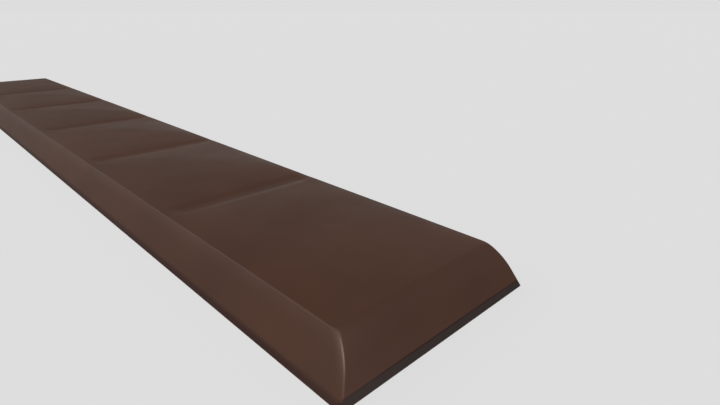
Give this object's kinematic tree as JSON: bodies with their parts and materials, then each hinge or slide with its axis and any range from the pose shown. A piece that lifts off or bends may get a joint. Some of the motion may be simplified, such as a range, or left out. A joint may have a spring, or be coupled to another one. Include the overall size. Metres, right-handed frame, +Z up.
{
  "type": "chocolate bar",
  "caption": "Slim moulded chocolate bar: six low-crowned segments in a single row, parted by shallow scores, with sloped walls and a flat back.",
  "frame": {"origin": "middle of the flat back, on the surface that the bar lies on", "axes": "+X along the bar, +Y across it, +Z up from the back to the segments"},
  "size_m": [0.2152, 0.0304, 0.006],
  "materials": {
    "chocolate": "satin"
  },
  "bodies": {
    "root": {"chocolate_bar": "chocolate"}
  },
  "joints": []
}
